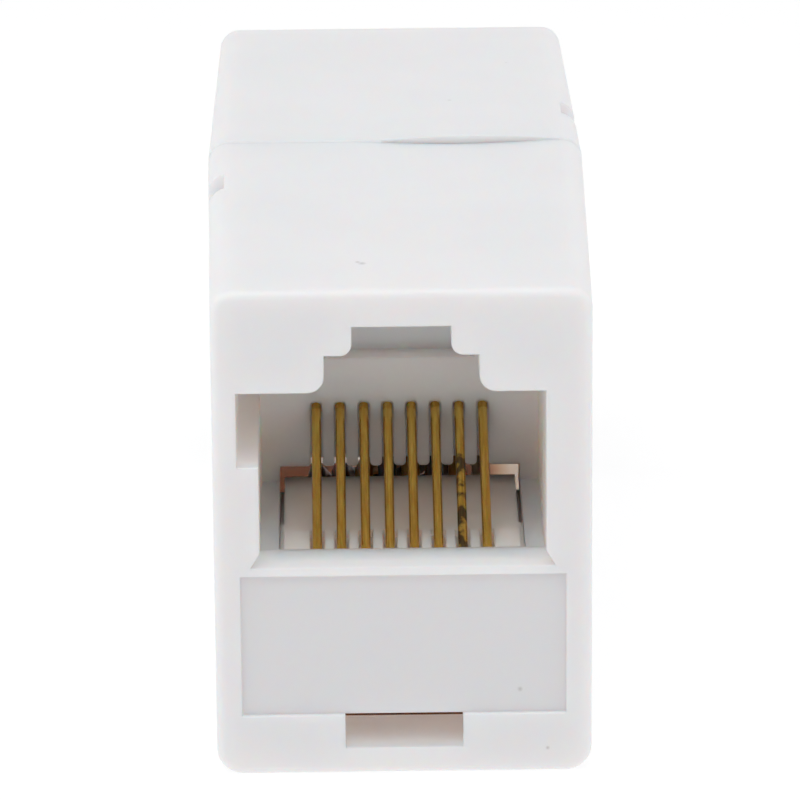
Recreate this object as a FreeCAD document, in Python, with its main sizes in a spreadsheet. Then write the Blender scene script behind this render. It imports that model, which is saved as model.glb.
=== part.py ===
import FreeCAD, Part
import math
import os
import Sketcher

# Inline coupler for two 8P8C plugs: two half shells from one mould, a little warped beside
# the seam, that snap together back to back, a contact carrier in each, eight spring wires
# in each carrier and eight insulated jumper wires that join the two sets straight through.
# Frame: X across the port, Y from the front port to the rear port, Z up, latch notches up.
# The origin is the centre of the underside.  Every depth is measured from a port's face.

SIZES = [
    # outer form of one half shell
    ("half_length", "19"),
    ("end_width", "15.7"),
    ("seam_width", "16.3"),
    ("end_height", "21.4"),
    ("seam_height", "21.87"),
    ("top_edge_radius", "0.9"),
    ("bottom_edge_radius", "1.1"),
    ("face_edge_radius", "0.35"),
    ("seam_edge_chamfer", "0.12"),
    ("seam_gap", "0.06"),
    # plug opening
    ("port_width", "11.9"),
    ("port_floor", "9.4"),
    ("port_top", "17"),
    ("port_depth", "10"),
    ("step_width", "6.4"),
    ("step_top", "18.6"),
    ("step_corner", "0.7"),
    ("notch_width", "4.1"),
    ("notch_top", "19.85"),
    ("notch_corner", "0.5"),
    ("front_wall", "1.3"),
    ("key_reach", "6.85"),
    ("key_floor", "13.75"),
    ("lip_top", "9.65"),
    ("lead_in_low", "9.28"),
    ("lead_in_flare", "0.4"),
    ("lead_in_rise", "0.3"),
    # wall behind the plug, with the comb that spaces the contact tips
    ("comb_wall_low", "10.1"),
    ("comb_wall_ledge", "15"),
    ("comb_depth", "1.1"),
    ("back_wall", "1.1"),
    ("comb_slot_width", "0.5"),
    ("comb_slot_top", "13"),
    ("comb_slot_corner", "0.14"),
    ("comb_tip_corner", "0.18"),
    # carrier channel and hollows of the shell
    ("channel_width", "10.3"),
    ("flange_channel_width", "12.9"),
    ("flange_low", "7.75"),
    ("flange_height", "0.8"),
    ("flange_clearance", "0.05"),
    ("rib_height", "0.7"),
    ("rib_gap_width", "11.4"),
    ("lower_hollow_width", "13.3"),
    ("floor_wall", "1.2"),
    ("hollow_width", "13.7"),
    ("top_wall", "1.25"),
    ("core_inner", "4.2"),
    ("core_low", "18.1"),
    ("core_depth", "2.4"),
    # recessed panel and window under the port
    ("panel_width", "13.56"),
    ("panel_low", "2.68"),
    ("panel_top", "8.93"),
    ("panel_depth", "0.18"),
    ("window_width", "4.93"),
    # snap arm and the opening that its hook catches in
    ("arm_reach", "6"),
    ("arm_root", "4"),
    ("arm_thickness", "0.9"),
    ("arm_gap", "0.1"),
    ("arm_low", "14.65"),
    ("arm_top_gap", "0.2"),
    ("hook_setback", "4.65"),
    ("hook_length", "1.25"),
    ("hook_play", "0.45"),
    ("hook_slope", "0.35"),
    ("hook_reach", "1.15"),
    ("hook_rise", "1.1"),
    ("hook_clearance", "0.1"),
    ("hook_corner", "0.4"),
    ("recess_inner", "7.4"),
    # contact carrier
    ("carrier_front_gap", "0.15"),
    ("carrier_side_gap", "0.2"),
    ("carrier_top", "9.25"),
    ("land_gap", "0.03"),
    ("land_end", "5.2"),
    ("carrier_end", "11"),
    ("ridge_top", "9.45"),
    ("ridge_end", "4"),
    ("ridge_slope", "0.5"),
    ("block_low", "7"),
    ("block_start", "7.5"),
    ("groove_width", "0.6"),
    ("groove_front", "0.5"),
    # the top walls beside the seam: the rear one has sprung up, the front one has sunk
    ("warp_reach", "8"),
    ("lift_centre", "3.3"),
    ("lift_width", "7.8"),
    ("lift_rise", "0.17"),
    ("sag_centre", "2.6"),
    ("sag_width", "8.6"),
    ("sag_drop", "0.18"),
    # contact wires
    ("contact_pitch", "1.016"),
    ("contact_diameter", "0.41"),
    ("contact_level", "8"),
    ("nose_depth", "2.35"),
    ("nose_radius", "0.62"),
    ("contact_angle", "23.4"),
    ("contact_tip", "10.3"),
    ("contact_tail", "9"),
    ("fit_gap", "0.02"),
    # jumper wires
    ("jumper_diameter", "0.8"),
    ("jumper_rise", "0.5"),
]

PINS = 8

# how far an outline reaches into the solid or the hollow that it joins, and how far a
# cutting outline stands clear of the form
OVERLAP = 0.1
SLIVER = 0.01
CLEAR = 1.0

# Between the contact tails the jumper ribbon lifts off the carrier and makes half a turn:
# for each corner of a wire's route, its place along Y, the ribbon's turn there in degrees
# and whether it has lifted.
TWIST = [
    (-7.5, 0.0, 0),
    (-6.0, 0.0, 1),
    (-4.3, 7.0, 1),
    (-2.2, 38.0, 1),
    (0.0, 90.0, 1),
    (2.2, 142.0, 1),
    (4.3, 173.0, 1),
    (6.0, 180.0, 1),
    (7.5, 180.0, 0),
]
# the largest step of turn pulls neighbouring wires together by the cosine of its half
WIDEST_HALF_STEP = math.radians(26.0)


class Size:
    """A length: its value and the expression that binds it to the sheet."""

    def __init__(self, value, text):
        self.value = value
        self.text = text

    def __add__(self, other):
        other = as_size(other)
        return Size(self.value + other.value, "(%s + %s)" % (self.text, other.text))

    def __sub__(self, other):
        other = as_size(other)
        return Size(self.value - other.value, "(%s - %s)" % (self.text, other.text))

    def __mul__(self, other):
        other = as_size(other)
        return Size(self.value * other.value, "(%s * %s)" % (self.text, other.text))

    def __truediv__(self, other):
        other = as_size(other)
        return Size(self.value / other.value, "(%s / %s)" % (self.text, other.text))

    def __neg__(self):
        return Size(-self.value, "(-1 * %s)" % self.text)


def as_size(value):
    """A plain number as a length."""
    if isinstance(value, Size):
        return value
    return Size(float(value), str(value))


def make_sheet(doc):
    """The driving dimensions, one alias a row, and the same values as lengths."""
    sheet = doc.addObject("Spreadsheet::Sheet", "Sizes")
    lengths = {}
    for row, (alias, value) in enumerate(SIZES, start=1):
        sheet.set("A%d" % row, alias)
        sheet.set("B%d" % row, value)
        sheet.setAlias("B%d" % row, alias)
        lengths[alias] = Size(float(value), "Sizes.%s" % alias)
    doc.recompute()
    return lengths


def fix(sketch, kind, geometry, point, length):
    """Holds one coordinate of a point at a length from the sketch's origin."""
    if abs(length.value) < 1e-9:
        axis = -2 if kind == "DistanceX" else -1
        sketch.addConstraint(Sketcher.Constraint("PointOnObject", geometry, point, axis))
        return
    if length.value > 0:
        rule = Sketcher.Constraint(kind, -1, 1, geometry, point, length.value)
    else:
        length = -length
        rule = Sketcher.Constraint(kind, geometry, point, -1, 1, length.value)
    index = sketch.addConstraint(rule)
    sketch.setExpression("Constraints[%d]" % index, length.text)


def draw_outline(sketch, points):
    """A closed outline of straight lines through bound points."""
    first = sketch.GeometryCount
    count = len(points)
    for index in range(count):
        start = points[index]
        end = points[(index + 1) % count]
        line = Part.LineSegment(
            FreeCAD.Vector(start[0].value, start[1].value, 0),
            FreeCAD.Vector(end[0].value, end[1].value, 0),
        )
        sketch.addGeometry(line, False)
    for index in range(count):
        following = first + (index + 1) % count
        rule = Sketcher.Constraint("Coincident", first + index, 2, following, 1)
        sketch.addConstraint(rule)
    for index in range(count):
        fix(sketch, "DistanceX", first + index, 1, points[index][0])
        fix(sketch, "DistanceY", first + index, 1, points[index][1])


def box_outline(left, right, low, high):
    """The four corners of an upright rectangle."""
    return [(left, low), (right, low), (right, high), (left, high)]


def draw_circle(sketch, across, up, diameter):
    """A circle held by its centre and its diameter."""
    centre = FreeCAD.Vector(across.value, up.value, 0)
    circle = Part.Circle(centre, FreeCAD.Vector(0, 0, 1), diameter.value / 2)
    index = sketch.addGeometry(circle, False)
    fix(sketch, "DistanceX", index, 3, across)
    fix(sketch, "DistanceY", index, 3, up)
    rule = sketch.addConstraint(Sketcher.Constraint("Diameter", index, diameter.value))
    sketch.setExpression("Constraints[%d]" % rule, diameter.text)


def new_sketch(body, name, plane, offset):
    """A sketch on one of the body's own origin planes, moved along its normal."""
    sketch = body.newObject("Sketcher::SketchObject", name)
    for feature in body.Origin.OriginFeatures:
        if feature.Role == plane:
            sketch.AttachmentSupport = (feature, [""])
    sketch.MapMode = "FlatFace"
    sketch.setExpression("AttachmentOffset.Base.z", offset.text)
    return sketch


def port_sketch(body, name, depth):
    """A sketch across the port at a depth: its x is X, its y is Z, its normal is -Y."""
    return new_sketch(body, name, "XZ_Plane", LENGTHS["half_length"] - depth)


def volume_of(body):
    """The volume of the body so far, with every feature up to date."""
    body.Document.recompute()
    return body.Shape.Volume


def check_change(body, name, before, sign):
    """Stops when a feature has not changed the volume the way it should."""
    change = volume_of(body) - before
    if change * sign <= 1e-6:
        raise ValueError("%s changes the volume by %.4f" % (name, change))


def cut(body, name, outlines, start, end):
    """Cuts outlines seen from the port, from one depth to a greater one."""
    before = volume_of(body)
    sketch = port_sketch(body, name + "_sketch", start)
    for points in outlines:
        draw_outline(sketch, points)
    pocket = body.newObject("PartDesign::Pocket", name)
    pocket.Profile = sketch
    pocket.setExpression("Length", (end - start).text)
    check_change(body, name, before, -1)
    return pocket


def add(body, name, outlines, start, end):
    """Adds outlines seen from the port, between two depths."""
    before = volume_of(body)
    sketch = port_sketch(body, name + "_sketch", end)
    for points in outlines:
        draw_outline(sketch, points)
    pad = body.newObject("PartDesign::Pad", name)
    pad.Profile = sketch
    pad.setExpression("Length", (end - start).text)
    check_change(body, name, before, 1)
    return pad


def bore(body, name, across, up, diameter, start, end):
    """A round hole along Y between two depths."""
    before = volume_of(body)
    sketch = port_sketch(body, name + "_sketch", start)
    draw_circle(sketch, across, up, diameter)
    pocket = body.newObject("PartDesign::Pocket", name)
    pocket.Profile = sketch
    pocket.setExpression("Length", (end - start).text)
    check_change(body, name, before, -1)
    return pocket


def repeat_across(body, name, originals):
    """Repeats features at the contact pitch, from the first pin's place to the last."""
    before = volume_of(body)
    guide = port_sketch(body, name + "_guide", LENGTHS["half_length"])
    pattern = body.newObject("PartDesign::LinearPattern", name)
    pattern.Originals = originals
    pattern.Direction = (guide, ["H_Axis"])
    pattern.setExpression("Length", (LENGTHS["contact_pitch"] * (PINS - 1)).text)
    pattern.Occurrences = PINS
    body.Tip = pattern
    check_change(body, name, before, -1)


def round_edges(body, name, radius, chosen):
    """Rounds the edges of the body's tip that the test picks."""
    base = body.Tip
    names = []
    for index, edge in enumerate(base.Shape.Edges, start=1):
        if chosen(edge):
            names.append("Edge%d" % index)
    fillet = body.newObject("PartDesign::Fillet", name)
    fillet.Base = (base, names)
    fillet.setExpression("Radius", radius.text)
    body.Document.recompute()


def first_pin():
    """Where the row of contacts starts, at the left as the port is seen."""
    return -(LENGTHS["contact_pitch"] * (PINS - 1) / 2)


def add_outer_form(body):
    """The drafted block: narrower and lower at the port than at the seam."""
    size = LENGTHS
    nothing = as_size(0)
    end = size["end_width"] / 2
    seam = size["seam_width"] / 2
    back = -size["half_length"]
    join = -(size["seam_gap"] / 2)
    plan = new_sketch(body, "plan", "XY_Plane", nothing)
    draw_outline(plan, [(-end, back), (end, back), (seam, join), (-seam, join)])
    block = body.newObject("PartDesign::Pad", "block")
    block.Profile = plan
    block.setExpression("Length", size["seam_height"].text)
    body.Document.recompute()
    beyond = size["seam_width"] / 2 + CLEAR
    above = size["seam_height"] + CLEAR
    slope = new_sketch(body, "top_slope", "YZ_Plane", beyond)
    low_end = (back, size["end_height"])
    high_end = (join, size["seam_height"])
    draw_outline(slope, [low_end, high_end, (join, above), (back, above)])
    draft = body.newObject("PartDesign::Pocket", "top_draft")
    draft.Profile = slope
    draft.setExpression("Length", (beyond * 2).text)
    body.Document.recompute()
    middle = size["end_height"].value / 2
    face = back.value

    def runs_along(edge):
        return abs(edge.Vertexes[0].Y - edge.Vertexes[-1].Y) > 1

    def on_top(edge):
        return runs_along(edge) and edge.CenterOfMass.z > middle

    def on_bottom(edge):
        return runs_along(edge) and edge.CenterOfMass.z < middle

    def at_port(edge):
        return abs(edge.BoundBox.YMin - face) < 1e-6 and edge.BoundBox.YLength < 1e-6

    round_edges(body, "top_edges", size["top_edge_radius"], on_top)
    round_edges(body, "bottom_edges", size["bottom_edge_radius"], on_bottom)
    round_edges(body, "port_face_edge", size["face_edge_radius"], at_port)
    add_seam_chamfer(body)


def add_seam_chamfer(body):
    """A fine break on the edge that meets the other half, which leaves the seam line."""
    base = body.Tip
    seam = -LENGTHS["seam_gap"].value / 2
    names = []
    for index, edge in enumerate(base.Shape.Edges, start=1):
        box = edge.BoundBox
        if abs(box.YMax - seam) < 1e-6 and box.YLength < 1e-6:
            names.append("Edge%d" % index)
    chamfer = body.newObject("PartDesign::Chamfer", "seam_edge")
    chamfer.Base = (base, names)
    chamfer.setExpression("Size", LENGTHS["seam_edge_chamfer"].text)
    body.Document.recompute()


def cut_plug_opening(body):
    """The stepped opening, the keyway beside it and the latch cavity behind the face."""
    size = LENGTHS
    nothing = as_size(0)
    port = size["port_width"] / 2
    step = size["step_width"] / 2
    notch = size["notch_width"] / 2
    stepped = [
        (-port, size["lip_top"]),
        (port, size["lip_top"]),
        (port, size["port_top"]),
        (step, size["port_top"]),
        (step, size["step_top"]),
        (notch, size["step_top"]),
        (notch, size["notch_top"]),
        (-notch, size["notch_top"]),
        (-notch, size["step_top"]),
        (-step, size["step_top"]),
        (-step, size["port_top"]),
        (-port, size["port_top"]),
    ]
    cut(body, "face_opening", [stepped], nothing, size["front_wall"])
    plug_space = box_outline(-port, port, size["port_floor"], size["port_top"])
    cut(body, "plug_space", [plug_space], size["front_wall"], size["port_depth"])
    cavity_end = size["port_depth"] + size["comb_depth"]
    cavity = box_outline(-step, step, size["comb_wall_ledge"], size["notch_top"])
    cut(body, "latch_cavity", [cavity], size["front_wall"], cavity_end)
    joined = -port + OVERLAP
    key = box_outline(-size["key_reach"], joined, size["key_floor"], size["port_top"])
    cut(body, "keyway", [key], nothing, size["port_depth"])


def round_opening_corners(body):
    """Rounds the corners of the step and the notch that point into the opening."""
    size = LENGTHS

    def corner_at(half_width, height):
        def chosen(edge):
            centre = edge.CenterOfMass
            box = edge.BoundBox
            straight = box.XLength < 1e-6 and box.ZLength < 1e-6
            across = abs(abs(centre.x) - half_width.value / 2) < 1e-6
            return straight and across and abs(centre.z - height.value) < 1e-6
        return chosen

    step = corner_at(size["step_width"], size["port_top"])
    round_edges(body, "step_corners", size["step_corner"], step)
    notch = corner_at(size["notch_width"], size["step_top"])
    round_edges(body, "notch_corners", size["notch_corner"], notch)


def cut_lead_in(body):
    """The ramp under the port that guides the plug over the lip, flared at its ends."""
    size = LENGTHS
    before = volume_of(body)
    port = size["port_width"] / 2
    flared = port + size["lead_in_flare"]
    high = size["lip_top"] + size["lead_in_rise"]
    face = port_sketch(body, "lead_in_face", as_size(0))
    low = size["lead_in_low"]
    draw_outline(face, [(-flared, low), (flared, low), (port, high), (-port, high)])
    back = port_sketch(body, "lead_in_back", size["front_wall"])
    low = size["lip_top"]
    draw_outline(back, [(-port, low), (port, low), (port, high), (-port, high)])
    loft = body.newObject("PartDesign::SubtractiveLoft", "lead_in")
    loft.Profile = face
    loft.Sections = [back]
    loft.Ruled = True
    check_change(body, "lead_in", before, -1)


def cut_hollows(body):
    """The hollows behind the comb wall, under the carrier and beside the latch cavity."""
    size = LENGTHS
    end = size["half_length"]
    wall_end = size["port_depth"] + size["comb_depth"] + size["back_wall"]
    floor = size["floor_wall"]
    gap = size["flange_clearance"]
    flange_low = size["flange_low"] - gap
    flange_high = size["flange_low"] + size["flange_height"] + gap
    rib_low = flange_low - size["rib_height"]
    half = size["channel_width"] / 2
    slot = box_outline(-half, half, flange_high - SLIVER, size["comb_wall_low"])
    cut(body, "carrier_slot", [slot], size["front_wall"], wall_end)
    half = size["flange_channel_width"] / 2
    channel = box_outline(-half, half, flange_low, flange_high)
    cut(body, "flange_channel", [channel], size["front_wall"], wall_end + OVERLAP)
    half = size["rib_gap_width"] / 2
    rib_gap = box_outline(-half, half, rib_low, flange_low + SLIVER)
    cut(body, "rib_gap", [rib_gap], size["front_wall"], wall_end + OVERLAP)
    half = size["lower_hollow_width"] / 2
    lower = box_outline(-half, half, floor, rib_low + SLIVER)
    cut(body, "lower_hollow", [lower], size["front_wall"], wall_end + OVERLAP)
    half = size["hollow_width"] / 2
    ceiling = size["end_height"] - size["top_wall"]
    hollow = box_outline(-half, half, floor, ceiling)
    cut(body, "rear_hollow", [hollow], wall_end, end)
    inner = size["core_inner"]
    left = box_outline(-half, -inner, size["core_low"], ceiling)
    right = box_outline(inner, half, size["core_low"], ceiling)
    cut(body, "core_pockets", [left, right], size["core_depth"], wall_end + OVERLAP)


def cut_comb(body):
    """The comb: one slot for each contact tip, open at its lower end."""
    size = LENGTHS
    start = size["port_depth"]
    half = size["comb_slot_width"] / 2
    left = first_pin() - half
    right = first_pin() + half
    low = size["comb_wall_low"] - OVERLAP
    outline = box_outline(left, right, low, size["comb_slot_top"])
    slot = cut(body, "comb_slot", [outline], start, start + size["comb_depth"])
    repeat_across(body, "comb", [slot])
    depth = size["half_length"].value - start.value - size["comb_depth"].value / 2

    def slot_edge_at(height):
        def chosen(edge):
            centre = edge.CenterOfMass
            box = edge.BoundBox
            straight = box.XLength < 1e-6 and box.ZLength < 1e-6
            reach = -first_pin().value + size["comb_slot_width"].value
            inside = abs(centre.x) < reach and abs(centre.y + depth) < 1e-6
            return straight and inside and abs(centre.z - height.value) < 1e-6
        return chosen

    top = slot_edge_at(size["comb_slot_top"])
    round_edges(body, "comb_slot_heads", size["comb_slot_corner"], top)
    foot = slot_edge_at(size["comb_wall_low"])
    round_edges(body, "comb_tips", size["comb_tip_corner"], foot)


def cut_panel(body):
    """The sunk panel under the port and the window at the foot of the face."""
    size = LENGTHS
    nothing = as_size(0)
    half = size["panel_width"] / 2
    panel = box_outline(-half, half, size["panel_low"], size["panel_top"])
    cut(body, "panel", [panel], nothing, size["panel_depth"])
    half = size["window_width"] / 2
    window = box_outline(-half, half, size["floor_wall"], size["panel_low"] + SLIVER)
    cut(body, "window", [window], nothing, size["front_wall"] + OVERLAP)


def add_snap(body):
    """The snap arm on one side and, on the other, the opening for the twin's hook."""
    size = LENGTHS
    seam = size["half_length"]
    outer = size["hollow_width"] / 2 - size["arm_gap"]
    inner = outer - size["arm_thickness"]
    into_wall = outer + size["arm_gap"] + OVERLAP
    low = size["arm_low"]
    high = size["end_height"] - size["top_wall"] - size["arm_top_gap"]
    root = box_outline(inner, into_wall, low, high)
    add(body, "arm_root", [root], seam - size["arm_root"], seam)
    arm = box_outline(inner, outer, low, high)
    add(body, "arm", [arm], seam, seam + size["arm_reach"])
    tip = outer + size["hook_reach"]
    cap = size["recess_inner"] + size["hook_clearance"] / 2
    top = high + size["hook_rise"]
    corner = size["hook_corner"]
    hook = [
        (outer - OVERLAP, low),
        (tip, low),
        (tip, top - corner),
        (tip - corner, top),
        (cap, top),
        (cap, high),
        (outer - OVERLAP, high),
    ]
    start = seam + size["hook_setback"]
    add(body, "hook", [hook], start, start + size["hook_length"])
    slope_hook(body, tip)
    gap = size["hook_clearance"]
    recess_end = seam - size["hook_setback"] + size["hook_play"]
    recess_start = seam - size["hook_setback"] - size["hook_length"] - gap
    beyond = size["seam_width"] / 2 + CLEAR
    above = size["seam_height"] + CLEAR
    recess = box_outline(-beyond, -size["recess_inner"], low - gap, above)
    cut(body, "hook_recess", [recess], recess_start, recess_end)
    wall = size["hollow_width"] / 2 - OVERLAP
    opening = box_outline(-size["recess_inner"] - SLIVER, -wall, low - gap, high + gap)
    cut(body, "hook_opening", [opening], recess_start, recess_end)


def slope_hook(body, tip):
    """The lead-in on the hook's far edge, which lets it ride over the other wall."""
    base = body.Tip
    size = LENGTHS
    far = size["hook_setback"].value + size["hook_length"].value
    names = []
    for index, edge in enumerate(base.Shape.Edges, start=1):
        box = edge.BoundBox
        upright = box.XLength < 1e-6 and box.YLength < 1e-6
        if upright and abs(box.XMax - tip.value) < 1e-6 and abs(box.YMax - far) < 1e-6:
            names.append("Edge%d" % index)
    slope = body.newObject("PartDesign::Chamfer", "hook_slope")
    slope.Base = (base, names)
    slope.setExpression("Size", size["hook_slope"].text)
    body.Document.recompute()


def draw_bowed(sketch, centre, width, flat, chord, bow):
    """A closed outline with a flat side and, over the chord, an arc that bows up or down."""
    left = centre - width / 2
    right = centre + width / 2
    corners = [(left, chord), (left, flat), (right, flat), (right, chord)]
    for start, end in zip(corners[:-1], corners[1:]):
        line = Part.LineSegment(
            FreeCAD.Vector(start[0].value, start[1].value, 0),
            FreeCAD.Vector(end[0].value, end[1].value, 0),
        )
        sketch.addGeometry(line, False)
    ends = [FreeCAD.Vector(left.value, chord.value, 0),
            FreeCAD.Vector(right.value, chord.value, 0)]
    middle = FreeCAD.Vector(centre.value, chord.value + bow.value, 0)
    if bow.value > 0:
        ends.reverse()
    arc = sketch.addGeometry(Part.Arc(ends[0], middle, ends[1]), False)
    first, last = (2, 1) if bow.value > 0 else (1, 2)
    sketch.addConstraint(Sketcher.Constraint("Coincident", 0, 2, 1, 1))
    sketch.addConstraint(Sketcher.Constraint("Coincident", 1, 2, 2, 1))
    sketch.addConstraint(Sketcher.Constraint("Coincident", 0, 1, arc, first))
    sketch.addConstraint(Sketcher.Constraint("Coincident", 2, 2, arc, last))
    for line, point, corner in ((0, 1, 0), (1, 1, 1), (2, 1, 2), (2, 2, 3)):
        fix(sketch, "DistanceX", line, point, corners[corner][0])
        fix(sketch, "DistanceY", line, point, corners[corner][1])
    rise = bow if bow.value > 0 else -bow
    radius = (width * width / 4 + rise * rise) / (rise * 2)
    rule = sketch.addConstraint(Sketcher.Constraint("Radius", arc, radius.value))
    sketch.setExpression("Constraints[%d]" % rule, radius.text)


def warp_top(body, name, centre, width, bow):
    """Lifts or sinks the top wall in a lens at the seam, fading out along the wall."""
    size = LENGTHS
    before = volume_of(body)
    seam = size["half_length"] - size["seam_gap"] / 2
    slope = (size["seam_height"] - size["end_height"]) / size["half_length"]
    lifted = bow.value > 0
    kind = "PartDesign::AdditiveLoft" if lifted else "PartDesign::SubtractiveLoft"
    flat = -(size["top_wall"] / 2) if lifted else as_size(CLEAR)
    top = size["seam_height"]
    edge = port_sketch(body, name + "_edge", seam)
    draw_bowed(edge, centre, width, top + flat, top, bow)
    top = top - slope * size["warp_reach"]
    fade = port_sketch(body, name + "_fade", seam - size["warp_reach"])
    draw_bowed(fade, centre, width / 2, top + flat, top, bow / 20)
    loft = body.newObject(kind, name)
    loft.Profile = edge
    loft.Sections = [fade]
    loft.Ruled = True
    check_change(body, name, before, 1 if lifted else -1)


def turn_round(body):
    """Turns a piece half a turn about Z, for the rear port."""
    body.Placement = FreeCAD.Placement(
        FreeCAD.Vector(0, 0, 0), FreeCAD.Rotation(FreeCAD.Vector(0, 0, 1), 180)
    )


def make_shell(doc, name):
    """One half shell, its port towards -Y and its seam on the XZ plane."""
    body = doc.addObject("PartDesign::Body", name)
    body.Label = name
    add_outer_form(body)
    cut_plug_opening(body)
    round_opening_corners(body)
    cut_lead_in(body)
    cut_hollows(body)
    cut_comb(body)
    cut_panel(body)
    add_snap(body)
    return body


def add_carrier_form(body):
    """The carrier's tongue, ridge and rear block, by its side profile, and its flanges."""
    size = LENGTHS
    seam = size["half_length"]
    start = size["front_wall"] + size["carrier_front_gap"]
    low = size["flange_low"]
    half_width = size["channel_width"] / 2 - size["carrier_side_gap"]
    corners = [
        (start, low),
        (start, size["ridge_top"]),
        (size["ridge_end"], size["ridge_top"]),
        (size["ridge_end"] + size["ridge_slope"], size["carrier_top"]),
        (size["carrier_end"], size["carrier_top"]),
        (size["carrier_end"], size["block_low"]),
        (size["block_start"], size["block_low"]),
        (size["block_start"], low),
    ]
    profile = new_sketch(body, "side_profile", "YZ_Plane", -half_width)
    draw_outline(profile, [(depth - seam, up) for depth, up in corners])
    pad = body.newObject("PartDesign::Pad", "tongue")
    pad.Profile = profile
    pad.setExpression("Length", (half_width * 2).text)
    body.Document.recompute()
    flange = size["flange_channel_width"] / 2 - size["flange_clearance"]
    high = low + size["flange_height"]
    outline = box_outline(-flange, flange, low, high)
    add(body, "flanges", [outline], start, size["carrier_end"])
    land = size["channel_width"] / 2 - size["land_gap"]
    outline = box_outline(-land, land, low, size["carrier_top"])
    add(body, "nose_lands", [outline], start, size["land_end"])


def cut_carrier_grooves(body):
    """For each contact, a groove round the nose and underside, and a stepped bore."""
    size = LENGTHS
    seam = size["half_length"]
    before = volume_of(body)
    nose_y = size["nose_depth"] - seam
    nose_z = size["contact_level"] + size["nose_radius"]
    radius = size["nose_radius"] - size["contact_diameter"] / 2 - size["fit_gap"]
    roof = nose_z + radius
    under = nose_z - radius
    front = size["groove_front"] - seam
    floor = size["flange_low"] - CLEAR
    above = size["ridge_top"] + CLEAR
    ridge_end = size["ridge_end"] + size["ridge_slope"] / 2 - seam
    block = size["block_start"] - seam
    corners = [
        (nose_y, under),
        (block, under),
        (block, floor),
        (front, floor),
        (front, above),
        (ridge_end, above),
        (ridge_end, roof),
        (nose_y, roof),
    ]
    offset = first_pin() - size["groove_width"] / 2
    sketch = new_sketch(body, "groove_profile", "YZ_Plane", offset)
    for start, end in zip(corners[:-1], corners[1:]):
        line = Part.LineSegment(
            FreeCAD.Vector(start[0].value, start[1].value, 0),
            FreeCAD.Vector(end[0].value, end[1].value, 0),
        )
        sketch.addGeometry(line, False)
    centre = FreeCAD.Vector(nose_y.value, nose_z.value, 0)
    circle = Part.Circle(centre, FreeCAD.Vector(0, 0, 1), radius.value)
    arc = sketch.addGeometry(Part.ArcOfCircle(circle, math.pi / 2, 3 * math.pi / 2), False)
    for index in range(6):
        sketch.addConstraint(Sketcher.Constraint("Coincident", index, 2, index + 1, 1))
    for index in range(7):
        if index > 0:
            fix(sketch, "DistanceX", index, 1, corners[index][0])
            fix(sketch, "DistanceY", index, 1, corners[index][1])
    fix(sketch, "DistanceX", arc, 3, nose_y)
    fix(sketch, "DistanceY", arc, 3, nose_z)
    rule = sketch.addConstraint(Sketcher.Constraint("Radius", arc, radius.value))
    sketch.setExpression("Constraints[%d]" % rule, radius.text)
    sketch.addConstraint(Sketcher.Constraint("Tangent", arc, 2, 0, 1))
    sketch.addConstraint(Sketcher.Constraint("Tangent", arc, 1, 6, 2))
    groove = body.newObject("PartDesign::Pocket", "groove")
    groove.Profile = sketch
    groove.Reversed = True
    groove.setExpression("Length", size["groove_width"].text)
    check_change(body, "groove", before, -1)
    gap = size["fit_gap"] * 2
    tail_hole = bore(
        body, "tail_bore", first_pin(), size["contact_level"],
        size["contact_diameter"] + gap, size["block_start"] - OVERLAP, size["carrier_end"],
    )
    wire_hole = bore(
        body, "jumper_bore", first_pin(), size["contact_level"],
        size["jumper_diameter"] + gap, size["contact_tail"] - size["fit_gap"],
        size["carrier_end"],
    )
    repeat_across(body, "contact_ways", [groove, tail_hole, wire_hole])


def make_carrier(doc, name):
    """The moulded carrier that slides in under the port and holds eight contacts."""
    body = doc.addObject("PartDesign::Body", name)
    body.Label = name
    add_carrier_form(body)
    cut_carrier_grooves(body)
    return body


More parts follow.
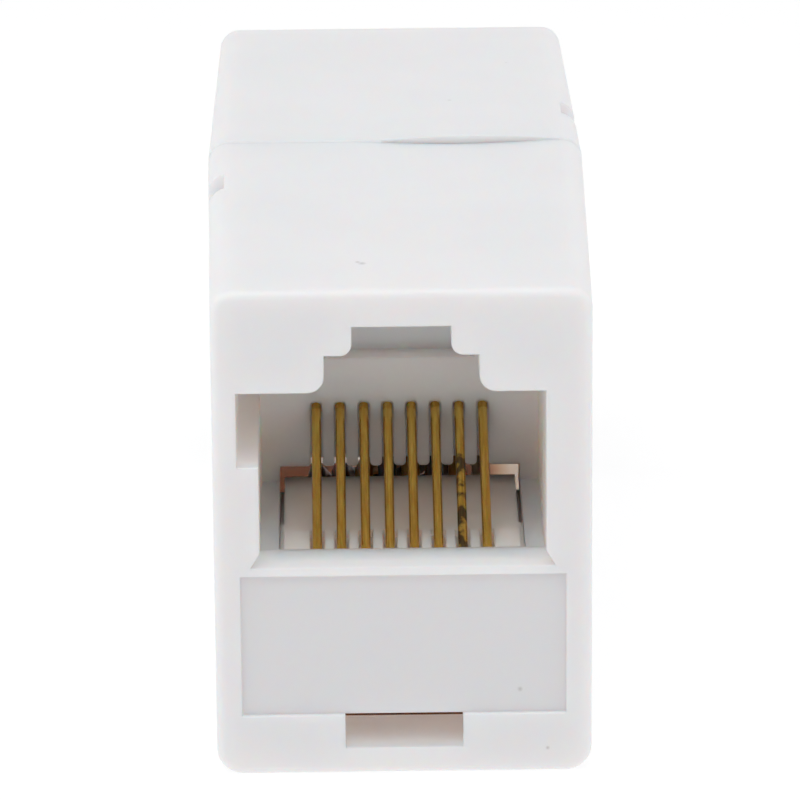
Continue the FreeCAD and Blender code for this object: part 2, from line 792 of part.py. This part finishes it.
def make_contact(doc, name):
    """A spring wire: straight under the carrier, round its nose, up into the comb."""
    size = LENGTHS
    seam = size["half_length"].value
    radius = size["nose_radius"].value
    angle = math.radians(size["contact_angle"].value)
    nose_y = size["nose_depth"].value - seam
    level = size["contact_level"].value
    tip_y = size["contact_tip"].value - seam
    rise_y = nose_y - radius * math.sin(angle)
    rise_z = level + radius + radius * math.cos(angle)
    tip_z = rise_z + (tip_y - rise_y) * math.tan(angle)
    body = doc.addObject("PartDesign::Body", name)
    body.Label = name
    path = new_sketch(body, name + "_path", "YZ_Plane", as_size(0))
    tail_point = FreeCAD.Vector(size["contact_tail"].value - seam, level, 0)
    nose_low = FreeCAD.Vector(nose_y, level, 0)
    path.addGeometry(Part.LineSegment(tail_point, nose_low), False)
    centre = FreeCAD.Vector(nose_y, level + radius, 0)
    circle = Part.Circle(centre, FreeCAD.Vector(0, 0, 1), radius)
    bend = Part.ArcOfCircle(circle, math.pi / 2 + angle, 3 * math.pi / 2)
    path.addGeometry(bend, False)
    rise_point = FreeCAD.Vector(rise_y, rise_z, 0)
    tip_point = FreeCAD.Vector(tip_y, tip_z, 0)
    path.addGeometry(Part.LineSegment(rise_point, tip_point), False)
    fix(path, "DistanceX", 0, 1, size["contact_tail"] - size["half_length"])
    fix(path, "DistanceY", 0, 1, size["contact_level"])
    fix(path, "DistanceX", 1, 3, size["nose_depth"] - size["half_length"])
    path.addConstraint(Sketcher.Constraint("Tangent", 0, 2, 1, 2))
    path.addConstraint(Sketcher.Constraint("Tangent", 1, 1, 2, 1))
    path.addConstraint(Sketcher.Constraint("Horizontal", 0))
    rule = path.addConstraint(Sketcher.Constraint("Radius", 1, radius))
    path.setExpression("Constraints[%d]" % rule, size["nose_radius"].text)
    fix(path, "DistanceX", 2, 2, size["contact_tip"] - size["half_length"])
    rule = path.addConstraint(Sketcher.Constraint("Angle", -1, 1, 2, 1, angle))
    path.setExpression("Constraints[%d]" % rule, "Sizes.contact_angle * 1 deg")
    ring = port_sketch(body, name + "_section", size["contact_tail"])
    draw_circle(ring, as_size(0), size["contact_level"], size["contact_diameter"])
    pipe = body.newObject("PartDesign::AdditivePipe", name + "_wire")
    pipe.Profile = ring
    pipe.Spine = (path, ["Edge1", "Edge2", "Edge3"])
    doc.recompute()
    return body


def place_contact(body, pin, turned):
    """Pin 1 is at the right as its port is seen, with the latch notch up."""
    across = first_pin() * -1 - LENGTHS["contact_pitch"] * (pin - 1)
    if turned:
        turn_round(body)
        across = -across
    body.setExpression("Placement.Base.x", across.text)


def wire_corners(pin):
    """The corners of one jumper's route through the half-turned ribbon."""
    pitch = LENGTHS["contact_pitch"].value
    across = pitch * (PINS - 1) / 2 - pitch * (pin - 1)
    level = LENGTHS["contact_level"].value
    end = LENGTHS["half_length"].value - LENGTHS["contact_tail"].value
    room = LENGTHS["jumper_diameter"].value + 0.1
    spread = max(1.0, room / (pitch * math.cos(WIDEST_HALF_STEP)))
    corners = []
    for along, turn, lifted in [(-end, 0.0, 0)] + TWIST + [(end, 180.0, 0)]:
        reach = across * spread if 0 < turn < 180 else across
        turn = math.radians(turn)
        up = level + lifted * LENGTHS["jumper_rise"].value + reach * math.sin(turn)
        corners.append(FreeCAD.Vector(reach * math.cos(turn), along, up))
    return corners


def rounded_path(corners):
    """Straight runs joined by tangent arcs as large as the runs allow."""
    edges = []
    radii = []
    start = corners[0]
    for before, corner, after in zip(corners[:-2], corners[1:-1], corners[2:]):
        into = corner - before
        out = after - corner
        half_turn = into.getAngle(out) / 2
        reach = 0.45 * min(into.Length, out.Length)
        radius = reach / math.tan(half_turn)
        into.normalize()
        out.normalize()
        arc_start = corner - into * reach
        arc_end = corner + out * reach
        inward = (out - into).normalize()
        middle = corner + inward * (radius / math.cos(half_turn) - radius)
        edges.append(Part.LineSegment(start, arc_start).toShape())
        edges.append(Part.Arc(arc_start, middle, arc_end).toShape())
        radii.append(radius)
        start = arc_end
    edges.append(Part.LineSegment(start, corners[-1]).toShape())
    return Part.Wire(edges), radii


def make_jumper(doc, name, pin):
    """One insulated wire from a front contact to the rear contact of the same pin."""
    path, radii = rounded_path(wire_corners(pin))
    radius = LENGTHS["jumper_diameter"].value / 2
    start = path.Vertexes[0].Point
    circle = Part.Circle(start, FreeCAD.Vector(0, 1, 0), radius)
    section = Part.Wire([circle.toShape()])
    tube = doc.addObject("Part::Feature", name)
    tube.Label = name
    tube.Shape = path.makePipeShell([section], True, False)
    wanted = math.pi * radius * radius * path.Length
    listed = ", ".join("%.1f" % value for value in radii)
    print("%s: length %.2f, radii %s, volume %.3f, section by length %.3f"
          % (name, path.Length, listed, tube.Shape.Volume, wanted))
    return tube


def check_all(doc, pieces):
    """Stops before anything is written when an object has failed."""
    doc.recompute()
    for thing in doc.Objects:
        if "Invalid" in thing.State or "Error" in thing.State:
            raise ValueError("%s is %s" % (thing.Name, thing.State))
    for piece in pieces:
        if piece.Shape.isNull() or not piece.Shape.isValid():
            raise ValueError("%s has no valid shape" % piece.Label)


doc = FreeCAD.newDocument("inline_coupler")
LENGTHS = make_sheet(doc)

front_shell = make_shell(doc, "front_shell")
warp_top(front_shell, "sunk_edge", LENGTHS["sag_centre"], LENGTHS["sag_width"],
         -LENGTHS["sag_drop"])
rear_shell = make_shell(doc, "rear_shell")
warp_top(rear_shell, "sprung_edge", -LENGTHS["lift_centre"], LENGTHS["lift_width"],
         LENGTHS["lift_rise"])
turn_round(rear_shell)
front_carrier = make_carrier(doc, "front_carrier")
rear_carrier = make_carrier(doc, "rear_carrier")
turn_round(rear_carrier)
pieces = [front_shell, rear_shell, front_carrier, rear_carrier]
for pin in range(1, PINS + 1):
    contact = make_contact(doc, "front_contact_%d" % pin)
    place_contact(contact, pin, False)
    pieces.append(contact)
for pin in range(1, PINS + 1):
    contact = make_contact(doc, "rear_contact_%d" % pin)
    place_contact(contact, pin, True)
    pieces.append(contact)
for pin in range(1, PINS + 1):
    pieces.append(make_jumper(doc, "jumper_wire_%d" % pin, pin))

check_all(doc, pieces)
os.makedirs("parts", exist_ok=True)
for piece in pieces:
    piece.Shape.exportStep(os.path.join("parts", piece.Label + ".step"))
    print("%s: volume %.2f, solids %d" % (piece.Label, piece.Shape.Volume,
                                          len(piece.Shape.Solids)))
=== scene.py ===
import bpy
import math
from mathutils import Matrix, Vector


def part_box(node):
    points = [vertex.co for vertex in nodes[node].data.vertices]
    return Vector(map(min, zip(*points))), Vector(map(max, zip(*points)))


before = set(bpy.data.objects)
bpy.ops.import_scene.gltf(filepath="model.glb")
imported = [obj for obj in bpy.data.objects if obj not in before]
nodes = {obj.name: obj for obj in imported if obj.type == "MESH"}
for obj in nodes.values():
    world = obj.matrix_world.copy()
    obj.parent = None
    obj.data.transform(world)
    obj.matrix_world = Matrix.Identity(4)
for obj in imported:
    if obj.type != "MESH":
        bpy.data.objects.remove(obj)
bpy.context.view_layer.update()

MM = 0.001

# Half shells.  Two identical mouldings in white ABS, pushed together back to back and held
# by one snap arm each.  The tool was polished, then lightly vapour blasted: a satin skin.


def linear(hex_colour):
    """An sRGB hex colour as linear red, green, blue, alpha."""
    values = [int(hex_colour[i:i + 2], 16) / 255 for i in (1, 3, 5)]
    bent = [v / 12.92 if v <= 0.04045 else ((v + 0.055) / 1.055) ** 2.4 for v in values]
    return (*bent, 1.0)


def add_node(tree, kind, settings=None, inputs=None):
    """Adds a node, sets its properties, and gives each input a value or a link."""
    node = tree.nodes.new(kind)
    for name, value in (settings or {}).items():
        setattr(node, name, value)
    for name, value in (inputs or {}).items():
        if isinstance(value, bpy.types.NodeSocket):
            tree.links.new(value, node.inputs[name])
        else:
            node.inputs[name].default_value = value
    return node


def new_material(name):
    """A material with an empty tree, its shader, its output and object coordinates."""
    material = bpy.data.materials.new(name)
    material.use_nodes = True
    tree = material.node_tree
    tree.nodes.clear()
    shader = add_node(tree, "ShaderNodeBsdfPrincipled")
    add_node(tree, "ShaderNodeOutputMaterial", inputs={"Surface": shader.outputs["BSDF"]})
    place = add_node(tree, "ShaderNodeTexCoord").outputs["Object"]
    return material, tree, shader, place


def dress(node, material):
    """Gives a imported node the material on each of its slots."""
    for slot in nodes[node].material_slots:
        slot.material = material


def add_mask(tree, value, rule, limit, mask):
    """Multiplies a mask by a comparison, so it keeps only the side that passes."""
    test = add_node(tree, "ShaderNodeMath", {"operation": rule}, {0: value, 1: limit})
    both = add_node(tree, "ShaderNodeMath", {"operation": "MULTIPLY"}, {
        0: mask, 1: test.outputs[0]})
    return both.outputs[0]


ABS_WHITE = linear("#f0f0f2")
ABS_SHADE = linear("#eeeef0")
ABS_PANEL = linear("#e8e7e9")
# painted shade for the gap at the joint
JOINT_PAINTED_SHADE = linear("#e9e8ea")
# painted warm light for the faces inside the port
ABS_INNER_PAINTED_LIGHT = linear("#fff9f7")
# painted shade and painted glow for the floor of the hollow
HOLLOW_PAINTED_SHADE = linear("#3c2c14")
HOLLOW_PAINTED_GLOW = linear("#fff3e6")
SPECK = linear("#8f8b86")
SHELL_EDGE = 0.1 * MM           # broken edge left by the tool
SKIN_CLOUD = 6.0 * MM           # faint flow marks of the moulding
SKIN_GRAIN = 0.25 * MM          # blasted grain, drawn coarser than the real 0.05 mm
SKIN_SPREAD = 1.0 * MM          # how far light spreads under the dense outer skin,
INNER_SPREAD = 2.3 * MM         # behind the faces inside the port, lit through the walls,
FLOOR_SPREAD = 8.0 * MM         # and in the thin floor round the window
FLOOR_ZONE = 2.7 * MM
shell_low, shell_high = (Vector(corner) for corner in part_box("front_shell"))
HALF_LENGTH = -shell_low.y
INNER_WIDTH = shell_high.x - 0.6 * MM
INNER_TOP = shell_high.z - 1.3 * MM
INNER_LOW = 0.6 * MM
JOINT_WIDTH = 0.3 * MM
HOLLOW_REACH = 15.45 * MM       # the floor that shows through the gap over the carrier
HOLLOW_FLOOR = 1.6 * MM
PAINTED_GLOW_START = 4.1 * MM
PAINTED_GLOW_FULL = 5.4 * MM
PANEL_DEPTH = 0.18 * MM
PANEL_HALF = 6.78 * MM
PANEL_LOW = 2.68 * MM
PANEL_TOP = 8.93 * MM
ABS_IOR = 1.53
ABS_DEPTHS = (1.0, 0.7, 0.58)   # red goes deepest, so thin walls glow warm
SPECK_SPREAD = 1.5              # how far a mark fades out, in radii
SPECK_STRENGTH = 0.45
# marks in the skin: place across, along and up, and radius, all in millimetres
SPECKS = [(-1.56, -15.67, 21.5, 0.14), (-1.75, -15.5, 21.5, 0.09), (2.5, 6.2, 21.7, 0.09),
          (5.2, 12.5, 21.5, 0.07), (4.85, -18.82, 3.7, 0.09), (6.0, -19.0, 1.1, 0.07)]

# White ABS, injection moulded: a dense white satin skin outside, with wide weak highlights.
# The walls are thin enough to let light through, so the faces inside glow a warm grey; part
# of that glow is painted into their colour.
abs_shell, tree, shader, place = new_material("abs_moulded_satin_white")
axes = add_node(tree, "ShaderNodeSeparateXYZ", inputs={"Vector": place}).outputs
far = add_node(tree, "ShaderNodeMath", {"operation": "ABSOLUTE"}, {0: axes["Y"]})
side = add_node(tree, "ShaderNodeMath", {"operation": "ABSOLUTE"}, {0: axes["X"]})
cloud = add_node(tree, "ShaderNodeTexNoise", inputs={
    "Vector": place, "Scale": 1 / SKIN_CLOUD, "Detail": 2.0, "Roughness": 0.5})
tone = add_node(tree, "ShaderNodeMapRange", inputs={
    "Value": cloud.outputs["Fac"], "From Min": 0.35, "From Max": 0.65})
skin = add_node(tree, "ShaderNodeMix", {"data_type": "RGBA"}, {
    "Factor": tone.outputs["Result"], "A": ABS_SHADE, "B": ABS_WHITE}).outputs["Result"]

# the recessed panel is a shade darker than the skin round it
panel = add_node(tree, "ShaderNodeMath", {"operation": "GREATER_THAN"}, {
    0: far.outputs[0], 1: HALF_LENGTH - 2 * PANEL_DEPTH})
panel = add_mask(tree, far.outputs[0], "LESS_THAN", HALF_LENGTH - PANEL_DEPTH / 2,
                 panel.outputs[0])
for value, rule, limit in ((side.outputs[0], "LESS_THAN", PANEL_HALF),
                           (axes["Z"], "LESS_THAN", PANEL_TOP),
                           (axes["Z"], "GREATER_THAN", PANEL_LOW)):
    panel = add_mask(tree, value, rule, limit, panel)
skin = add_node(tree, "ShaderNodeMix", {"data_type": "RGBA"}, {
    "Factor": panel, "A": skin, "B": ABS_PANEL}).outputs["Result"]
for across, along, up, radius in SPECKS:
    centre = Vector((across, along, up)) * MM
    away = add_node(tree, "ShaderNodeVectorMath", {"operation": "DISTANCE"}, {
        0: place, 1: centre})
    spot = add_node(tree, "ShaderNodeMapRange", inputs={
        "Value": away.outputs["Value"], "From Min": radius * SPECK_SPREAD * MM,
        "From Max": 0.0, "To Max": SPECK_STRENGTH})
    skin = add_node(tree, "ShaderNodeMix", {"data_type": "RGBA"}, {
        "Factor": spot.outputs["Result"], "A": skin, "B": SPECK}).outputs["Result"]

# painted shade: a thin grey line along the joint, on the edge of the front half, stands in
# for the shade in the gap between the two halves
joint = add_node(tree, "ShaderNodeMapRange", inputs={
    "Value": axes["Y"], "From Min": -JOINT_WIDTH, "From Max": -JOINT_WIDTH / 2})
before = add_node(tree, "ShaderNodeMath", {"operation": "LESS_THAN"}, {
    0: axes["Y"], 1: 0.0})
joint = add_node(tree, "ShaderNodeMath", {"operation": "MULTIPLY"}, {
    0: joint.outputs["Result"], 1: before.outputs[0]})
skin = add_node(tree, "ShaderNodeMix", {"data_type": "RGBA"}, {
    "Factor": joint.outputs[0], "A": skin, "B": JOINT_PAINTED_SHADE}).outputs["Result"]

# painted light: the faces inside, from just behind the rim of the port, are painted a
# lighter, warmer colour for the warm light that comes through the walls
inner = add_node(tree, "ShaderNodeMapRange", {"interpolation_type": "SMOOTHSTEP"}, {
    "Value": far.outputs[0], "From Min": HALF_LENGTH - 0.1 * MM,
    "From Max": HALF_LENGTH - 0.8 * MM}).outputs["Result"]
for value, rule, limit in ((side.outputs[0], "LESS_THAN", INNER_WIDTH),
                           (axes["Z"], "LESS_THAN", INNER_TOP),
                           (axes["Z"], "GREATER_THAN", INNER_LOW)):
    inner = add_mask(tree, value, rule, limit, inner)
skin = add_node(tree, "ShaderNodeMix", {"data_type": "RGBA"}, {
    "Factor": inner, "A": skin, "B": ABS_INNER_PAINTED_LIGHT}).outputs["Result"]

# painted shade: the hollow's white floor behind the jumper wires is dark amber brown;
# painted glow: cream towards one side, for light through the wall
hollow = add_mask(tree, far.outputs[0], "LESS_THAN", HOLLOW_REACH, inner)
hollow = add_mask(tree, axes["Z"], "LESS_THAN", HOLLOW_FLOOR, hollow)
painted_glow_ramp = add_node(tree, "ShaderNodeMapRange", inputs={
    "Value": axes["X"], "From Min": PAINTED_GLOW_START, "From Max": PAINTED_GLOW_FULL})
painted_hollow_light = add_node(tree, "ShaderNodeMix", {"data_type": "RGBA"}, {
    "Factor": painted_glow_ramp.outputs["Result"], "A": HOLLOW_PAINTED_SHADE, "B": HOLLOW_PAINTED_GLOW})
skin = add_node(tree, "ShaderNodeMix", {"data_type": "RGBA"}, {
    "Factor": hollow, "A": skin, "B": painted_hollow_light.outputs["Result"]}).outputs["Result"]
tree.links.new(skin, shader.inputs["Base Color"])
floor = add_node(tree, "ShaderNodeMapRange", inputs={
    "Value": axes["Z"], "From Min": FLOOR_ZONE, "From Max": FLOOR_ZONE + 0.4 * MM,
    "To Min": FLOOR_SPREAD, "To Max": INNER_SPREAD})
spread = add_node(tree, "ShaderNodeMapRange", inputs={
    "Value": inner, "To Min": SKIN_SPREAD, "To Max": floor.outputs["Result"]})
tree.links.new(spread.outputs["Result"], shader.inputs["Subsurface Scale"])

grain = add_node(tree, "ShaderNodeTexNoise", inputs={
    "Vector": place, "Scale": 1 / SKIN_GRAIN, "Detail": 2.0})
edge = add_node(tree, "ShaderNodeBevel", {"samples": 6}, {"Radius": SHELL_EDGE})
bump = add_node(tree, "ShaderNodeBump", inputs={
    "Height": grain.outputs["Fac"], "Strength": 0.05, "Distance": 0.02 * MM,
    "Normal": edge.outputs["Normal"]})
tree.links.new(bump.outputs["Normal"], shader.inputs["Normal"])
shader.inputs["Roughness"].default_value = 0.42
shader.inputs["IOR"].default_value = ABS_IOR
shader.inputs["Subsurface Weight"].default_value = 1.0
shader.inputs["Subsurface Radius"].default_value = ABS_DEPTHS
for name in ("front_shell", "rear_shell"):
    dress(name, abs_shell)

# Contact carriers.  One moulding in each port, in a warmer and slightly glossier ABS; it
# slides in under the port's rails and its ridge keeps the wires apart.

CARRIER_SHADE = linear("#fbece6")
CARRIER_LIGHT = linear("#fdf0ea")
CARRIER_CLOUD = 2.0 * MM
CARRIER_EDGE = 0.08 * MM
CARRIER_SPREAD = 1.2 * MM

# Natural ABS, injection moulded: a shade warmer than the shell, and thin enough to glow.
abs_carrier, tree, shader, place = new_material("abs_moulded_natural_carrier")
cloud = add_node(tree, "ShaderNodeTexNoise", inputs={
    "Vector": place, "Scale": 1 / CARRIER_CLOUD, "Detail": 2.0})
skin = add_node(tree, "ShaderNodeMix", {"data_type": "RGBA"}, {
    "Factor": cloud.outputs["Fac"], "A": CARRIER_SHADE, "B": CARRIER_LIGHT})
tree.links.new(skin.outputs["Result"], shader.inputs["Base Color"])
edge = add_node(tree, "ShaderNodeBevel", {"samples": 6}, {"Radius": CARRIER_EDGE})
tree.links.new(edge.outputs["Normal"], shader.inputs["Normal"])
shader.inputs["Roughness"].default_value = 0.4
shader.inputs["IOR"].default_value = ABS_IOR
shader.inputs["Subsurface Weight"].default_value = 1.0
shader.inputs["Subsurface Radius"].default_value = ABS_DEPTHS
shader.inputs["Subsurface Scale"].default_value = CARRIER_SPREAD
for name in ("front_carrier", "rear_carrier"):
    dress(name, abs_carrier)

# Spring contacts.  Sixteen phosphor bronze wires of 0.41 mm, bent round the carrier's nose
# and gold plated over nickel; their tips stand in the comb of the wall behind the plug.

GOLD = linear("#d6b45a")
GOLD_DULL = linear("#c39a45")
STAIN = linear("#4d4336")
DRAW_LINE = 0.12 * MM           # die lines, drawn coarser than the real 0.01 mm
STAIN_START = -11.0 * MM        # where the stain begins, along the wire
STAIN_FULL = -12.0 * MM
STAIN_PATCH = 0.7 * MM


def gold_material(name, stained):
    """Gold plate over drawn wire: faint lines along the wire and a sharp highlight."""
    material, tree, shader, place = new_material(name)
    stretch = add_node(tree, "ShaderNodeMapping", inputs={
        "Vector": place, "Scale": (1.0, 0.06, 0.2)})
    lines = add_node(tree, "ShaderNodeTexNoise", inputs={
        "Vector": stretch.outputs["Vector"], "Scale": 1 / DRAW_LINE, "Detail": 2.0})
    dull = add_node(tree, "ShaderNodeMapRange", inputs={
        "Value": lines.outputs["Fac"], "From Min": 0.3, "From Max": 0.7})
    colour = add_node(tree, "ShaderNodeMix", {"data_type": "RGBA"}, {
        "Factor": dull.outputs["Result"], "A": GOLD, "B": GOLD_DULL}).outputs["Result"]
    if stained:
        patches = add_node(tree, "ShaderNodeTexNoise", inputs={
            "Vector": place, "Scale": 1 / STAIN_PATCH, "Detail": 3.0})
        dark = add_node(tree, "ShaderNodeMapRange", inputs={
            "Value": patches.outputs["Fac"], "From Min": 0.45, "From Max": 0.55,
            "To Max": 0.9})
        along = add_node(tree, "ShaderNodeSeparateXYZ", inputs={"Vector": place})
        begun = add_node(tree, "ShaderNodeMapRange", inputs={
            "Value": along.outputs["Y"], "From Min": STAIN_START,
            "From Max": STAIN_FULL})
        worn = add_node(tree, "ShaderNodeMath", {"operation": "MULTIPLY"}, {
            0: dark.outputs["Result"], 1: begun.outputs["Result"]})
        colour = add_node(tree, "ShaderNodeMix", {"data_type": "RGBA"}, {
            "Factor": worn.outputs[0], "A": colour, "B": STAIN}).outputs["Result"]
    tree.links.new(colour, shader.inputs["Base Color"])
    shader.inputs["Metallic"].default_value = 1.0
    shader.inputs["Roughness"].default_value = 0.22
    return material


gold_wire = gold_material("gold_plate_drawn_wire", False)
gold_stained = gold_material("gold_plate_drawn_wire_stained", True)
for end in ("front", "rear"):
    for pin in range(1, 9):
        dress("%s_contact_%d" % (end, pin), gold_wire)
dress("front_contact_2", gold_stained)

# Jumper wires.  Eight copper wires in thin PVC, one colour to a pin, laid side by side and
# given half a turn so that pin 1 meets pin 1 at the other port.

INSULATION = ["#f0dcc0", "#f0b050", "#26282f", "#f8bc4c", "#2a2422", "#f0b24a",
              "#3a2a20", "#5a4030"]
PVC_CLOUD = 1.5 * MM
PVC_IOR = 1.53
for pin, colour in enumerate(INSULATION, start=1):
    # Flexible PVC, extruded: smooth, a little waxy, one colour right through.
    pvc, tree, shader, place = new_material("pvc_extruded_jumper_%d" % pin)
    soft = add_node(tree, "ShaderNodeTexNoise", inputs={
        "Vector": place, "Scale": 1 / PVC_CLOUD, "Detail": 1.0})
    shade = add_node(tree, "ShaderNodeMapRange", inputs={
        "Value": soft.outputs["Fac"], "To Min": 0.88, "To Max": 1.0})
    tinted = add_node(tree, "ShaderNodeVectorMath", {"operation": "SCALE"}, {
        0: linear(colour)[:3], "Scale": shade.outputs["Result"]})
    tree.links.new(tinted.outputs["Vector"], shader.inputs["Base Color"])
    shader.inputs["Roughness"].default_value = 0.35
    shader.inputs["IOR"].default_value = PVC_IOR
    dress("jumper_wire_%d" % pin, pvc)

# Stage.  A pale table top under the coupler that throws light back up, a white room that is
# open in front, one soft box high in front and one at each side.

WHITE = linear("#ffffff")
TABLE_SHADE = linear("#595959")
TABLE_LIGHT = 0.85              # what the table throws back at the coupler
TABLE_GREY = linear("#aeaeae")  # shows the shadow,
TABLE_GLOW = 0.66               # and with this is white where there is none
TABLE_DROP = 0.02 * MM          # keeps the table clear of the underside
ROOM_LIGHT = 0.44
FRONT_LIGHT = 0.12
ROOM_TINT = linear("#fdfeff")


def seen_directly(tree):
    """Is 1 for the camera's rays and for what gloss and glass show, and 0 for the rest."""
    path = add_node(tree, "ShaderNodeLightPath")
    seen = add_node(tree, "ShaderNodeMath", {"operation": "MAXIMUM"}, {
        0: path.outputs["Is Camera Ray"], 1: path.outputs["Is Glossy Ray"]})
    seen = add_node(tree, "ShaderNodeMath", {"operation": "MAXIMUM"}, {
        0: seen.outputs[0], 1: path.outputs["Is Transmission Ray"]})
    return seen.outputs[0]


bpy.ops.mesh.primitive_plane_add(size=3.0, location=(0, 0, -TABLE_DROP))
table = bpy.context.object
table.name = "table_top"
laminate, tree, shader, place = new_material("matt_white_laminate")
shader.inputs["Base Color"].default_value = TABLE_SHADE
shader.inputs["Roughness"].default_value = 0.9
seen = seen_directly(tree)
pale = add_node(tree, "ShaderNodeBsdfDiffuse", inputs={"Color": TABLE_GREY})
glow = add_node(tree, "ShaderNodeEmission", inputs={"Color": WHITE, "Strength": TABLE_GLOW})
sheet = add_node(tree, "ShaderNodeAddShader", inputs={
    0: pale.outputs["BSDF"], 1: glow.outputs["Emission"]})
lit = add_node(tree, "ShaderNodeEmission", inputs={"Color": WHITE, "Strength": TABLE_LIGHT})
under = add_node(tree, "ShaderNodeAddShader", inputs={
    0: shader.outputs["BSDF"], 1: lit.outputs["Emission"]})
surface = add_node(tree, "ShaderNodeMixShader", inputs={
    "Fac": seen, 1: under.outputs["Shader"], 2: sheet.outputs["Shader"]})
output = [n for n in tree.nodes if n.type == "OUTPUT_MATERIAL"][0]
tree.links.new(surface.outputs["Shader"], output.inputs["Surface"])
table.data.materials.append(laminate)

world = bpy.data.worlds.new("white_room")
bpy.context.scene.world = world
world.use_nodes = True
tree = world.node_tree
tree.nodes.clear()
seen = seen_directly(tree)
# the room is darker in front, where it is open
toward = add_node(tree, "ShaderNodeTexCoord")
axes = add_node(tree, "ShaderNodeSeparateXYZ", inputs={
    "Vector": toward.outputs["Generated"]})
level = add_node(tree, "ShaderNodeMapRange", inputs={
    "Value": axes.outputs["Y"], "From Min": -0.9, "From Max": 0.1,
    "To Min": FRONT_LIGHT, "To Max": ROOM_LIGHT})
room = add_node(tree, "ShaderNodeBackground", inputs={
    "Color": ROOM_TINT, "Strength": level.outputs["Result"]})
white = add_node(tree, "ShaderNodeBackground", inputs={"Color": WHITE, "Strength": 1.0})
mixed = add_node(tree, "ShaderNodeMixShader", inputs={
    "Fac": seen, 1: room.outputs["Background"], 2: white.outputs["Background"]})
add_node(tree, "ShaderNodeOutputWorld", inputs={"Surface": mixed.outputs["Shader"]})


BOX_WIDTH = 0.5
BOX_AIM = Vector((0, 0, 0.01))


def soft_box(name, place, power):
    """A square white area lamp that faces the middle of the coupler."""
    lamp = bpy.data.lights.new(name, "AREA")
    lamp.shape = "SQUARE"
    lamp.size = BOX_WIDTH
    lamp.energy = power
    holder = bpy.data.objects.new(name, lamp)
    bpy.context.scene.collection.objects.link(holder)
    place = Vector(place)
    holder.location = place
    holder.rotation_euler = (BOX_AIM - place).to_track_quat("-Z", "Y").to_euler()


soft_box("key_box", (-0.03, -0.187, 0.474), 1.6)
soft_box("left_box", (-0.5, -0.05, 0.12), 0.65)
soft_box("right_box", (0.5, -0.05, 0.12), 0.65)

# Camera.  A long lens, a little above the port.

PITCH = math.radians(19.744)
YAW = math.radians(0.606)
ROLL = math.radians(-0.465)
DISTANCE = 268.224 * MM
AIM = Vector((-0.075, -19.0, 16.659)) * MM
look = Vector((math.sin(YAW) * math.cos(PITCH), math.cos(YAW) * math.cos(PITCH),
               -math.sin(PITCH)))
level = Vector((math.cos(YAW), -math.sin(YAW), 0))
upright = level.cross(look)
right = level * math.cos(ROLL) + upright * math.sin(ROLL)
up = upright * math.cos(ROLL) - level * math.sin(ROLL)
lens = bpy.data.cameras.new("long_lens")
lens.sensor_width = 36.0
lens.lens = 293.65
lens.clip_start = 0.01
lens.clip_end = 20.0
camera = bpy.data.objects.new("long_lens", lens)
bpy.context.scene.collection.objects.link(camera)
turn = Matrix((right, up, -look)).transposed()
camera.matrix_world = Matrix.Translation(AIM - look * DISTANCE) @ turn.to_4x4()
bpy.context.scene.camera = camera
bpy.context.scene.view_settings.view_transform = "Standard"
